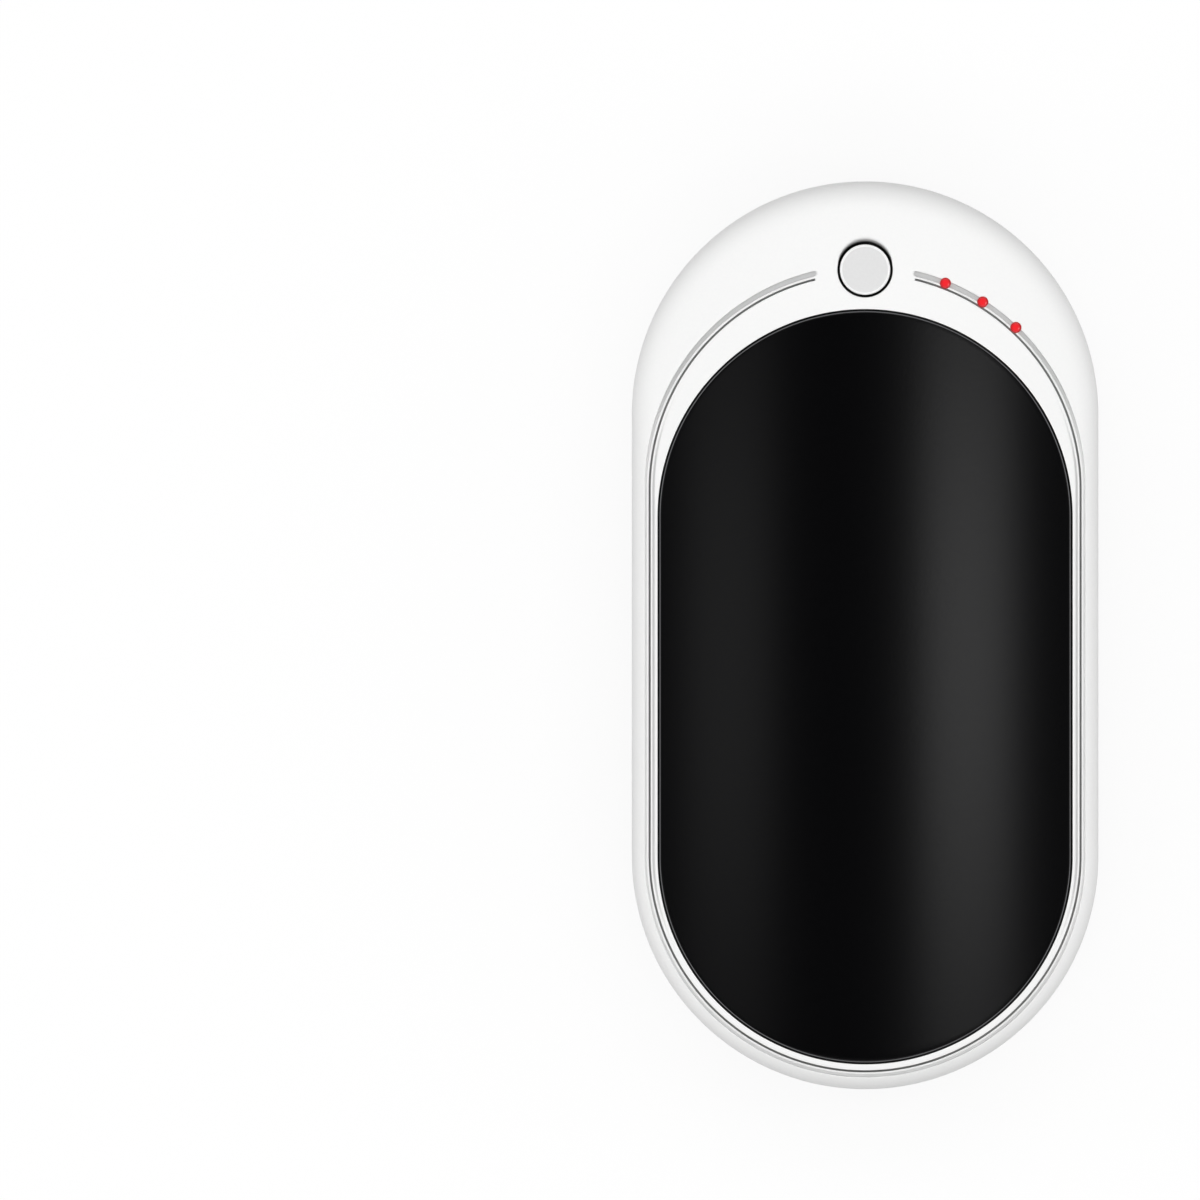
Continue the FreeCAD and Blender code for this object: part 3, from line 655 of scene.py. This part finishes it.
front_plate = make_piece("front_plate_skin", [plate_grid(front_skin, crown, 1)], "open")
rear_plate = make_piece("rear_plate_skin", [plate_grid(rear_skin, sole, -1)], "open")
for plate in (front_plate, rear_plate):
    weld(plate)
    plate_x, plate_y, _ = points_of(plate)
    from_rim = plate_radius - pill_distance(plate_x, plate_y, plate_low, plate_top)
    # A lighter band on the rounded edge is a painted highlight.
    mark(plate, "painted_edge_highlight", smooth((0.15 - from_rim) / 0.04) * smooth((from_rim - 0.02) / 0.04))
print("plates", len(front_plate.data.polygons), "and", len(rear_plate.data.polygons), "faces")

# %% [markdown]
# ## The button
#
# The button is a turned-looking moulding: a post that meets the switch, a flange that keeps it from
# falling out, and a head with a rounded rim and a face dished for a fingertip. A profile turned
# about its axis gives all of that in one surface.

# %% Button cap
def turned(x, y, radii, heights, columns=96):
    """A profile turned about an upright axis: (x + r cos t, y + r sin t, height)."""
    turn = np.linspace(0, 2 * np.pi, columns, endpoint=False)
    radius = np.asarray(radii)[:, None]
    height = np.broadcast_to(np.asarray(heights)[:, None], (len(radii), columns))
    return np.stack([x + radius * np.cos(turn), y + radius * np.sin(turn), height], axis=-1)


cap_set_in = 0.05
cap_top = thickness - cap_set_in
cap_radius = 2.78
cap_round = 0.25
dish_depth = 0.05
turn_up = np.radians(np.linspace(0, 90, 8))
face_radii = np.array([2.5, 2.45, 2.4, 2.3, 2.1, 1.8, 1.4, 1.0, 0.6, 0.3, 0.05])
face_dish = dish_depth * (1 - (face_radii / (cap_radius - cap_round)) ** 2)
# The profile goes up from the foot of the post over the flange and the neck to the face.
cap_radii = np.concatenate([
    [0.05, 1.4, 1.5, 1.5, 1.52, 3.7, 3.8, 3.8, 3.7, 2.8, 2.78, 2.78],
    cap_radius - cap_round * (1 - np.cos(turn_up)),
    face_radii,
])
cap_heights = np.concatenate([
    [18.873, 18.873, 18.97, 20.43, 20.473, 20.473, 20.57, 21.27, 21.373, 21.373, 21.42, 23.6],
    cap_top - cap_round * (1 - np.sin(turn_up)),
    cap_top - face_dish,
])
button_cap = make_piece("button_cap_moulding", [turned(0, button_y, cap_radii, cap_heights)], "capped")
cap_x, cap_y, cap_z = points_of(button_cap)
from_axis = np.hypot(cap_x, cap_y - button_y)
# The rim gets a painted highlight, and the cap below its head gets painted shade.
mark(button_cap, "painted_rim_highlight", smooth((from_axis - 2.5) / 0.05) * (cap_z > cap_top - 0.2))
mark(button_cap, "gap_shade", smooth((cap_top - 0.2 - cap_z) / 0.15))
print("button cap", len(button_cap.data.polygons), "faces, head", 2 * cap_radius, "mm across")

# %% [markdown]
# ## The dome under the button
#
# A shallow dome of spring steel lies under the button's stem. It gives the click, and flattens as the
# button goes down. The imported solid could stay, but it is rigid, so the stem would sink into it. Here
# it is a thin cap turned from two arcs, which takes the imported solid's place.

# %% Switch dome
dome_box = np.array([list(corner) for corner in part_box("switch_dome")]) / MM
dome_foot, dome_top = dome_box[:, 2]
dome_half = (dome_box[1, 0] - dome_box[0, 0]) / 2
dome_sheet = 0.1
dome_sphere = (dome_half ** 2 + (dome_top - dome_foot) ** 2) / (2 * (dome_top - dome_foot))
dome_inside = np.sqrt((dome_sphere - dome_sheet) ** 2 - (dome_foot - dome_top + dome_sphere) ** 2)
dome_radii = np.concatenate([np.linspace(0.04, dome_half, 16), np.linspace(dome_inside, 0.04, 16)])
dome_arcs = np.repeat([dome_sphere, dome_sphere - dome_sheet], 16)
dome_heights = dome_top - dome_sphere + np.sqrt(dome_arcs ** 2 - dome_radii ** 2)
dome_grid = turned(0, button_y, dome_radii, dome_heights)
switch_dome = make_piece("switch_dome_pressed", [dome_grid], "capped")
print("dome", round(2 * dome_half, 2), "mm across and", round(dome_top - dome_foot, 2), "mm high")

# %% [markdown]
# ## The lamps
#
# Three clear red posts bring the light of the lamps on the board up into the channel. They stand on
# a bar that follows the underside of the roof, so that the part drops in as one. The posts are
# turned, with low domes, and the bar is a section carried along an arc. The rim of each post is
# marked to be a darker red, which is painted shade.

# %% Light guide
post_radii = [0.05, 0.5, 0.55, 0.55, 0.55, 0.53, 0.48, 0.4, 0.28, 0.15, 0.04]
post_drops = [0.09, 0.055, 0.035, 0.022, 0.012, 0.006, 0.004]
post_low = 16.273


def post(x, y):
    """A post from the lamp below to a low dome just under the surface."""
    top = crown(x, 0)
    heights = [post_low, post_low, post_low + 0.05, top - 1.0] + [top - drop for drop in post_drops]
    return turned(x, y, post_radii, heights, 48)


bar_half = 14.85
bar_turn = lamp_angles.mean() + np.radians(np.linspace(-bar_half, bar_half, 40))
bar_across = np.array([-0.9, -0.8, 0.8, 0.9, 0.9, 0.8, -0.8, -0.9])
bar_depth = np.array([2.55, 2.45, 2.45, 2.55, 3.35, 3.45, 3.45, 3.35])
bar_x = (lamp_circle + bar_across) * np.cos(bar_turn)[:, None]
bar_y = groove_top + (lamp_circle + bar_across) * np.sin(bar_turn)[:, None]
bar = np.stack([bar_x, bar_y, crown(bar_x, bar_depth)], axis=-1)
posts = [post(x, y) for x, y in zip(lamp_x, lamp_y)]
light_guide = make_piece("light_guide_moulding", [bar, *posts], "capped")
guide_x, guide_y, _ = points_of(light_guide)
from_lamp = np.hypot(guide_x[:, None] - lamp_x, guide_y[:, None] - lamp_y).min(axis=1)
mark(light_guide, "post_rim_painted_shade", smooth((from_lamp - 0.28) / 0.28))
print("lamps at", np.round(np.stack([lamp_x, lamp_y], axis=-1), 2).tolist())

# %% [markdown]
# ## The charging socket
#
# The socket's shell is drawn from thin steel into a flat oval tube, and its mouth is rolled smooth so
# that no sharp edge is left. It is an oval carried along the depth of the socket, out along the
# outside, round the lip and back inside.

# %% Socket shell
socket_width, socket_height = 8.94, 3.16
socket_depth = 7.3
socket_sheet = 0.3
socket_mouth = 49.508
socket_back = socket_mouth - socket_depth
half_sheet = socket_sheet / 2
lip_turn = np.radians(np.linspace(0, 180, 9))
lip_grow = half_sheet * np.cos(lip_turn) - half_sheet
tube_grow = np.concatenate([[0, 0, 0], lip_grow, [-socket_sheet, -socket_sheet]])
tube_y = np.concatenate([
    [socket_back, socket_back + 0.1, socket_mouth - 0.6],
    socket_mouth - half_sheet * (1 - np.sin(lip_turn)),
    [socket_mouth - 0.6, socket_back],
])
tube_x, tube_up = oval(socket_width, socket_height, tube_grow)
tube = np.stack([tube_x, np.broadcast_to(tube_y[:, None], tube_x.shape), port_z + tube_up], axis=-1)
socket_shell = make_piece("socket_shell_drawn", [tube], "loop")
print("socket shell", len(socket_shell.data.polygons), "faces")

# %% [markdown]
# ## Colours and nodes
#
# Colours are written as sRGB hex, as a colour card gives them, and one function turns them to the
# linear values that Blender works in. One small function adds a node, sets it up and links it. Most
# finishes start the same way, from a fine grain that moves the colour, the gloss and the relief a
# little, so that start is written once and each finish adds what is its own.

# %% Colours, nodes and the start of a finish
def linear(code):
    """sRGB hex to linear: c / 12.92 up to 0.04045, and ((c + 0.055) / 1.055) ^ 2.4 above."""
    value = np.array([int(code[place:place + 2], 16) for place in (1, 3, 5)]) / 255
    bent = np.where(value <= 0.04045, value / 12.92, ((value + 0.055) / 1.055) ** 2.4)
    return (*bent.tolist(), 1.0)


def add(tree, kind, links=(), **settings):
    """Adds a node. Settings are its properties or, by socket name, its inputs; links feed its inputs."""
    made = tree.nodes.new(kind)
    for name, value in settings.items():
        if hasattr(made, name):
            setattr(made, name, value)
        else:
            made.inputs[name.replace("_", " ")].default_value = value
    for socket, source in links:
        tree.links.new(source, made.inputs[socket])
    return made


def finish(name, dark, light, grain_mm, gloss, relief_mm, stretch=(1, 1, 1), **shader):
    """A material whose grain of a real size moves its colour, roughness and relief."""
    made = bpy.data.materials.new(name)
    made.use_nodes = True
    tree = made.node_tree
    tree.nodes.clear()
    place = add(tree, "ShaderNodeTexCoord")
    turn = add(tree, "ShaderNodeMapping", [("Vector", place.outputs["Object"])], Scale=stretch)
    grain = add(tree, "ShaderNodeTexNoise", [("Vector", turn.outputs[0])],
                Scale=1000 / grain_mm, Detail=3.0)
    colour = add(tree, "ShaderNodeMix", [("Factor", grain.outputs[0])], data_type="RGBA")
    colour.inputs[6].default_value = linear(dark)
    colour.inputs[7].default_value = linear(light)
    rough = add(tree, "ShaderNodeMapRange", [("Value", grain.outputs[0])],
                To_Min=gloss[0], To_Max=gloss[1])
    bump = add(tree, "ShaderNodeBump", [("Height", grain.outputs[0])],
               Distance=relief_mm * MM, Strength=1.0)
    surface = add(tree, "ShaderNodeBsdfPrincipled", [
        ("Base Color", colour.outputs[2]), ("Roughness", rough.outputs[0]), ("Normal", bump.outputs[0]),
    ])
    for socket, value in shader.items():
        surface.inputs[socket.replace("_", " ")].default_value = value
    add(tree, "ShaderNodeOutputMaterial", [("Surface", surface.outputs[0])])
    return made


def tint(material, name, code):
    """Mixes a colour into a finish where the piece carries the named attribute."""
    tree = material.node_tree
    colour = tree.nodes["Principled BSDF"].inputs["Base Color"]
    before = colour.links[0].from_socket
    here = add(tree, "ShaderNodeAttribute", attribute_name=name)
    mixed = add(tree, "ShaderNodeMix", [("Factor", here.outputs["Fac"]), (6, before)], data_type="RGBA")
    mixed.inputs[7].default_value = linear(code)
    tree.links.new(mixed.outputs[2], colour)


print("mid grey #808080 is", round(linear("#808080")[0], 3), "in linear light")

# %% [markdown]
# ## White ABS, moulded
#
# The shells are ABS from a mould with a fine spark-eroded texture, which gives a bright satin with
# no visible pattern at arm's length. The grain is about 0.1 mm on the real part. It is drawn at
# 0.25 mm so that it shows at all, with a relief of a micrometre or two. The grey of the channel,
# which is partly painted shade, and the painted shade of the gaps are mixed in by their attributes.

# %% White shells
white_abs = finish("white_abs_moulded", "#f5f5f5", "#fafaf9", 0.25, (0.5, 0.58), 0.0015, IOR=1.5)
tint(white_abs, "grey_coat_and_painted_shade", "#c6c6c6")
tint(white_abs, "gap_shade", "#141414")
print("white ABS nodes", len(white_abs.node_tree.nodes))

# %% [markdown]
# ## Black anodised aluminium
#
# The plates are aluminium, blasted with fine beads, dyed black in the anodising bath and sealed. The
# dye sits in a clear oxide, so it reflects like a dark stone rather than like bare metal: soft
# grey bands on deep black. The blasted grain of 0.1 mm is drawn at 0.3 mm.

# %% Black plates
black_anodised = finish("black_anodised_aluminium", "#010102", "#030304", 0.3, (0.22, 0.25), 0.003,
                        IOR=1.25)
# The lighter grey on the rounded edge is a painted highlight.
tint(black_anodised, "painted_edge_highlight", "#6e6e70")
print("black plates", black_anodised.name)

# %% [markdown]
# ## Button, lamps and the rest
#
# The button is the same plastic with grey masterbatch and a duller texture. The lamps glow through
# clear red polycarbonate. Inside are the usual materials of a small power bank. They hardly show,
# but each has its own grain: foam cells, etched film, shrink wrap, rolled metal.

# %% Other finishes
grey_button = finish("grey_abs_moulded", "#dedede", "#e5e5e5", 0.3, (0.45, 0.55), 0.004, IOR=1.54)
# The near-white on the rim is a painted highlight, and the dark below the head is painted shade.
tint(grey_button, "painted_rim_highlight", "#fdfdfd")
tint(grey_button, "gap_shade", "#101010")
red_guide = finish("red_polycarbonate_lit", "#b81c22", "#cc2228", 0.4, (0.12, 0.2), 0.001, IOR=1.42,
                   Emission_Color=linear("#f02a30"), Emission_Strength=0.44)
# The darker red on the rims of the posts is painted shade.
tint(red_guide, "post_rim_painted_shade", "#5a070c")
finishes = {
    "white_abs": white_abs,
    "black_anodised": black_anodised,
    "grey_button": grey_button,
    "red_guide": red_guide,
    "tape": finish("acrylic_foam_tape", "#cfcdc4", "#e2e0d8", 0.5, (0.6, 0.75), 0.02),
    "polyimide": finish("polyimide_film_etched", "#7a3a10", "#b8641c", 1.2, (0.25, 0.4), 0.01,
                        (1, 0.08, 1)),
    "foam": finish("closed_cell_foam", "#1f1f21", "#3c3c40", 0.7, (0.8, 0.95), 0.08),
    "cell_wrap": finish("pvc_shrink_wrap_blue", "#17408c", "#2458b4", 3.0, (0.28, 0.4), 0.02,
                        (1, 0.2, 1)),
    "nickel": finish("nickel_strip_rolled", "#a9a49a", "#cbc6bc", 0.4, (0.28, 0.42), 0.002,
                     (0.05, 1, 1), Metallic=1.0),
    "red_lead": finish("silicone_lead_red", "#8e0f12", "#b3181b", 0.6, (0.5, 0.65), 0.01),
    "black_lead": finish("silicone_lead_black", "#0d0d0e", "#1c1c1e", 0.6, (0.5, 0.65), 0.01),
    "white_lead": finish("silicone_lead_white", "#d8d8d4", "#ecece8", 0.6, (0.5, 0.65), 0.01),
    "board": finish("solder_mask_green", "#06351c", "#0c5a30", 1.0, (0.3, 0.42), 0.015, (1, 0.15, 1)),
    "steel": finish("stainless_steel_drawn", "#a8abb0", "#c9ccd0", 0.3, (0.2, 0.34), 0.002,
                    (1, 0.08, 1), Metallic=1.0),
    "black_moulding": finish("glass_filled_nylon_black", "#0f0f10", "#1d1d1f", 0.2, (0.5, 0.65), 0.006),
    "gold": finish("gold_plate", "#c8963a", "#e6b956", 0.3, (0.18, 0.3), 0.001, Metallic=1.0),
    "lamp_epoxy": finish("clear_epoxy_lamp", "#c9433c", "#e06058", 0.5, (0.15, 0.25), 0.002, IOR=1.52),
    "ferrite": finish("sintered_ferrite", "#333336", "#525257", 0.25, (0.6, 0.75), 0.01),
    "chip_ceramic": finish("sintered_ceramic_tan", "#86683f", "#a88a5f", 0.2, (0.5, 0.65), 0.006),
}
print("finishes", len(finishes))

# %% [markdown]
# ## Putting the pieces in place
#
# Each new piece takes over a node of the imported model, rides on the same body and keeps the node's
# material slot. Every other node keeps its own shape and only gets its finish.

# %% Replace and dress the nodes
replaced = {
    "front_shell": front_shell,
    "rear_shell": rear_shell,
    "front_plate": front_plate,
    "rear_plate": rear_plate,
    "button_cap": button_cap,
    "switch_dome": switch_dome,
    "light_guide": light_guide,
    "usb_shell": socket_shell,
}
for row in frame["record"]["subparts"]:
    node, slot = row["node"], row["material_slot"]
    if node in replaced:
        piece = replaced[node]
        piece.data.materials.clear()
        piece.data.materials.append(finishes[slot])
        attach(piece, "button" if node == "button_cap" else "casing")
        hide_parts(node)
    else:
        for place in frame["nodes"][node].material_slots:
            place.material = finishes[slot]
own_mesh(switch_dome)

# %% [markdown]
# ## Floor
#
# The floor is plain and white. For the eye and for reflections most of it is a clean white, which is
# the background of a product picture, and the rest is matt and keeps the soft shadow. To the light
# that it throws back it is a mid grey, so that the edge of the casing stays shaded.

# %% White floor
half_floor = 1.5
floor_z = -0.0003
clean_share = 0.85
corners = half_floor * np.array([[-1, -1], [1, -1], [1, 1], [-1, 1]])
floor_mesh = bpy.data.meshes.new("floor")
floor_mesh.from_pydata([(x, y, floor_z) for x, y in corners.tolist()], [], [(0, 1, 2, 3)])
floor = bpy.data.objects.new("floor", floor_mesh)
bpy.context.scene.collection.objects.link(floor)

white_floor = bpy.data.materials.new("white_floor")
white_floor.use_nodes = True
tree = white_floor.node_tree
tree.nodes.clear()
path = add(tree, "ShaderNodeLightPath")
direct = add(tree, "ShaderNodeMath", [
    (0, path.outputs["Is Camera Ray"]), (1, path.outputs["Is Glossy Ray"]),
], operation="MAXIMUM")
seen = add(tree, "ShaderNodeMath", [
    (0, direct.outputs[0]), (1, path.outputs["Is Transmission Ray"]),
], operation="MAXIMUM")
share = add(tree, "ShaderNodeMath", [(0, seen.outputs[0])], operation="MULTIPLY")
share.inputs[1].default_value = clean_share
matt_colour = add(tree, "ShaderNodeMix", [("Factor", seen.outputs[0])], data_type="RGBA")
matt_colour.inputs[6].default_value = linear("#8c8c8c")
matt_colour.inputs[7].default_value = linear("#f2f2f2")
matt = add(tree, "ShaderNodeBsdfDiffuse", [("Color", matt_colour.outputs[2])])
clean = add(tree, "ShaderNodeEmission", Color=(1, 1, 1, 1), Strength=1.02)
both = add(tree, "ShaderNodeMixShader", [
    (0, share.outputs[0]), (1, matt.outputs[0]), (2, clean.outputs[0]),
])
add(tree, "ShaderNodeOutputMaterial", [("Surface", both.outputs[0])])
floor_mesh.materials.append(white_floor)
print("floor", 2 * half_floor, "m square")

# %% [markdown]
# ## Light
#
# The warmer lies in a tent of white cloth. The camera looks in through a dark slot overhead, which
# runs across the warmer. The curved plate mirrors only what lies across it, which is the slot, so it
# stays black but for two narrow panels hung in the slot, which draw its soft upright bands.

# %% Panels
panel_size = (0.06, 0.11)
panel_distance = 0.4
face_level = 0.02


def panel(name, toward, tilt, radiance):
    """A rectangular lamp at a tilt from straight up, towards +X (0) or -X (180), facing the warmer.

    Its power is radiance * pi * area.
    """
    lean, turn = np.radians(tilt), np.radians(toward)
    up = Vector((np.sin(lean) * np.cos(turn), np.sin(lean) * np.sin(turn), np.cos(lean)))
    where = up * panel_distance
    lamp = bpy.data.lights.new(name, "AREA")
    lamp.shape = "RECTANGLE"
    lamp.size, lamp.size_y = panel_size
    lamp.energy = radiance * np.pi * panel_size[0] * panel_size[1]
    made = bpy.data.objects.new(name, lamp)
    made.location = where + Vector((0, 0, face_level))
    made.rotation_euler = (-where).to_track_quat("-Z", "Y").to_euler()
    bpy.context.scene.collection.objects.link(made)


panel("right_band", 0, 18.7, 6.0)
panel("left_band", 180, 25, 1.85)

# %% [markdown]
# The tent is a level of light for each direction. Its walls are bright along the long sides, dim at
# the ends and dimmer towards the floor, so that the rolled edge of the casing turns grey outwards.
# The left wall is a little brighter, to balance the panels. The roof on both sides of the slot is the
# brightest and lights the white face. The camera itself sees plain white past the floor.

# %% Tent
world = bpy.data.worlds.new("tent")
bpy.context.scene.world = world
world.use_nodes = True
tree = world.node_tree
tree.nodes.clear()
sky = add(tree, "ShaderNodeTexCoord")
axes = add(tree, "ShaderNodeSeparateXYZ", [(0, sky.outputs["Generated"])])
toward_x, toward_y, toward_z = (axes.outputs[axis] for axis in "XYZ")
along = add(tree, "ShaderNodeMath", [(0, toward_y)], operation="ABSOLUTE")
across = add(tree, "ShaderNodeMath", [(0, toward_x)], operation="ABSOLUTE")

past_slot = add(tree, "ShaderNodeMapRange", [("Value", along.outputs[0])], From_Min=0.23, From_Max=0.39)
under_slot = add(tree, "ShaderNodeMapRange", [("Value", toward_z)], From_Min=0.78, From_Max=0.6)
cloth = add(tree, "ShaderNodeMath", [(0, past_slot.outputs[0]), (1, under_slot.outputs[0])],
            operation="MAXIMUM")

sides = add(tree, "ShaderNodeMapRange", [("Value", across.outputs[0])], To_Min=0.12, To_Max=1.49)
balance = add(tree, "ShaderNodeMapRange", [("Value", toward_x)], From_Min=-1.0, To_Min=1.08, To_Max=0.96)
skirt = add(tree, "ShaderNodeMapRange", [("Value", toward_z)], From_Max=0.65, To_Min=0.58, To_Max=1.18)
hung = add(tree, "ShaderNodeMath", [(0, balance.outputs[0]), (1, skirt.outputs[0])],
           operation="MULTIPLY")
walls = add(tree, "ShaderNodeMath", [(0, sides.outputs[0]), (1, hung.outputs[0])], operation="MULTIPLY")

overhead = add(tree, "ShaderNodeMapRange", [("Value", toward_z)], From_Min=0.65, From_Max=0.93)
tent = add(tree, "ShaderNodeMix", [("Factor", overhead.outputs[0]), ("A", walls.outputs[0])], B=2.94)
level = add(tree, "ShaderNodeMath", [(0, cloth.outputs[0]), (1, tent.outputs[0])], operation="MULTIPLY")
path = add(tree, "ShaderNodeLightPath")
shown = add(tree, "ShaderNodeMix", [("Factor", path.outputs["Is Camera Ray"]), ("A", level.outputs[0])],
            B=1.0)
glow = add(tree, "ShaderNodeBackground", [("Strength", shown.outputs[0])], Color=(1, 1, 1, 1))
add(tree, "ShaderNodeOutputWorld", [("Surface", glow.outputs[0])])
print("tent nodes", len(tree.nodes))

# %% [markdown]
# ## Camera
#
# The picture looks straight at the front face with no perspective, so the camera is orthographic and
# looks straight down. One pixel of the picture is 0.11018 mm, and the warmer stands right of the
# middle and a little below it.

# %% Camera
picture_pixels = 1200
pixel_mm = 0.11018
warmer_right_pixels = 265.1
warmer_below_pixels = 35.3
camera_height = 0.5
camera_data = bpy.data.cameras.new("camera")
camera_data.type = "ORTHO"
camera_data.ortho_scale = picture_pixels * pixel_mm * MM
camera = bpy.data.objects.new("camera", camera_data)
camera.location = (
    -warmer_right_pixels * pixel_mm * MM, warmer_below_pixels * pixel_mm * MM, camera_height,
)
bpy.context.scene.collection.objects.link(camera)
bpy.context.scene.camera = camera
bpy.context.scene.view_settings.view_transform = "Standard"
print("camera at", [round(1000 * value, 2) for value in camera.location], "mm")
